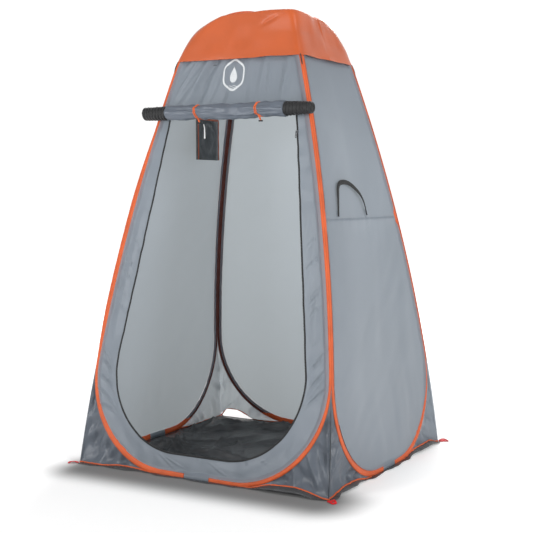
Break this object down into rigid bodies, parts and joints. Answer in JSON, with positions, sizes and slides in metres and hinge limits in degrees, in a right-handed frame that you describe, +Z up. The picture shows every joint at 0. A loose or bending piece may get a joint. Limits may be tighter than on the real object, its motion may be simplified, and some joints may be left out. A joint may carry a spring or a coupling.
{
  "type": "privacy shower tent",
  "caption": "Tall four-sided pop-up changing tent with steel hoops in sleeves, rolled-up door, fly cap, inner pocket and pegging loops.",
  "frame": {"origin": "on the ground, under the middle of the tent", "axes": "+Z up; doorway faces -Y; +X is to the right of someone facing the doorway"},
  "size_m": [1.2876, 1.2214, 1.954],
  "materials": {
    "wall_fabric": "fine woven polyester, faint sheen",
    "sleeve_fabric": "woven polyester, stitched edge",
    "cap_fabric": "woven polyester with a light coating",
    "floor_fabric": "coated polyester, creased",
    "mesh": "open polyester mesh",
    "webbing_black": "woven webbing",
    "webbing_red": "woven webbing",
    "elastic_orange": "braided elastic",
    "binding_rust": "bias binding",
    "label_white": "satin ribbon, blank",
    "spring_steel": "oiled spring steel",
    "ferrule_steel": "zinc plated",
    "zip_black": "moulded coil zip",
    "zip_metal": "black enamel",
    "toggle_plastic": "moulded plastic"
  },
  "bodies": {
    "front": {"front_panel": "wall_fabric", "front_hoop": "spring_steel", "front_sleeve": "sleeve_fabric", "front_hoop_ferrule": "ferrule_steel", "front_sleeve_patch": "wall_fabric", "front_hem": "sleeve_fabric", "front_gusset_left": "wall_fabric", "front_gusset_right": "wall_fabric", "door_zip": "zip_black", "door_roll": "wall_fabric", "zip_tape_end_left": "zip_black", "zip_tape_end_right": "zip_black", "tie_loop_left": "elastic_orange", "tie_loop_right": "elastic_orange", "care_label": "label_white", "roof_mesh": "mesh", "floor_sheet": "floor_fabric", "peg_loop_front_left": "webbing_red", "peg_loop_front_right": "webbing_red"},
    "left": {"left_panel": "wall_fabric", "left_hoop": "spring_steel", "left_sleeve": "sleeve_fabric", "left_hoop_ferrule": "ferrule_steel", "left_sleeve_patch": "wall_fabric", "left_hem": "sleeve_fabric", "left_gusset_front": "wall_fabric", "left_gusset_rear": "wall_fabric"},
    "right": {"right_panel": "wall_fabric", "right_hoop": "spring_steel", "right_sleeve": "sleeve_fabric", "right_hoop_ferrule": "ferrule_steel", "right_sleeve_patch": "wall_fabric", "right_hem": "sleeve_fabric", "right_gusset_front": "wall_fabric", "right_gusset_rear": "wall_fabric", "right_seam_tape": "wall_fabric", "strap_tabs": "wall_fabric"},
    "back": {"back_panel": "wall_fabric", "back_hoop": "spring_steel", "back_sleeve": "sleeve_fabric", "back_hoop_ferrule": "ferrule_steel", "back_sleeve_patch": "wall_fabric", "back_hem": "sleeve_fabric", "back_gusset_left": "wall_fabric", "back_gusset_right": "wall_fabric", "peg_loop_back_left": "webbing_red", "peg_loop_back_right": "webbing_red"},
    "cap": {"rain_cap": "cap_fabric", "cap_ties": "webbing_black"},
    "strap": {"carry_strap": "webbing_black"},
    "pocket": {"pocket_mesh": "mesh", "pocket_binding": "binding_rust"},
    "slider": {"zip_slider": "zip_metal"},
    "outer_pull": {"zip_pull_outer": "zip_metal"},
    "inner_pull": {"zip_pull_inner": "zip_metal"},
    "toggle_left": {"tie_toggle_left": "toggle_plastic"},
    "toggle_right": {"tie_toggle_right": "toggle_plastic"}
  },
  "joints": [
    {"name": "fold_left", "type": "hinge", "parent": "front", "child": "left", "pos_m": [-0.586, -0.561, 0], "axis": [-0.169, -0.184, -0.9683], "range_deg": [0, 84], "deforming": ["rain_cap", "cap_ties", "roof_mesh", "floor_sheet", "pocket_mesh", "pocket_binding"]},
    {"name": "fold_right", "type": "hinge", "parent": "front", "child": "right", "pos_m": [0.65737, -0.5665, 0], "axis": [0.169, -0.184, -0.9683], "range_deg": [0, 84]},
    {"name": "fold_back", "type": "hinge", "parent": "right", "child": "back", "pos_m": [0.586, 0.561, 0], "axis": [-0.169, -0.184, 0.9683], "range_deg": [0, 84]},
    {"name": "cap_lift", "type": "slide", "parent": "front", "child": "cap", "axis": [0, 0, 1], "range_m": [0, 0.25]},
    {"name": "strap_swing", "type": "hinge", "parent": "right", "child": "strap", "pos_m": [0.47132, -0.1, 1.066], "axis": [0, 1, 0], "range_deg": [0, 170]},
    {"name": "pocket_swing", "type": "hinge", "parent": "left", "child": "pocket", "pos_m": [-0.35448, 0.062, 1.5], "axis": [0, -1, 0], "range_deg": [-12, 95]},
    {"name": "zip_travel", "type": "slide", "parent": "front", "child": "slider", "axis": [0.139, -0.1848, -0.9729], "range_m": [0, 0.78]},
    {"name": "outer_pull_swing", "type": "hinge", "parent": "slider", "child": "outer_pull", "pos_m": [0.316, -0.30937, 1.41043], "axis": [-1, 0, 0], "range_deg": [0, 110]},
    {"name": "inner_pull_swing", "type": "hinge", "parent": "slider", "child": "inner_pull", "pos_m": [0.316, -0.2958, 1.41], "axis": [1, 0, 0], "range_deg": [-10, 100]},
    {"name": "toggle_left_turn", "type": "hinge", "parent": "front", "child": "toggle_left", "pos_m": [-0.144, -0.31484, 1.45499], "axis": [0, 0.1867, 0.9824], "range_deg": [-80, 80]},
    {"name": "toggle_right_turn", "type": "hinge", "parent": "front", "child": "toggle_right", "pos_m": [0.154, -0.31484, 1.45499], "axis": [0, 0.1867, 0.9824], "range_deg": [-80, 80]}
  ],
  "couplings": [
    {"joint": "fold_right", "follows": "fold_left", "ratio": 1},
    {"joint": "fold_back", "follows": "fold_left", "ratio": 1}
  ]
}
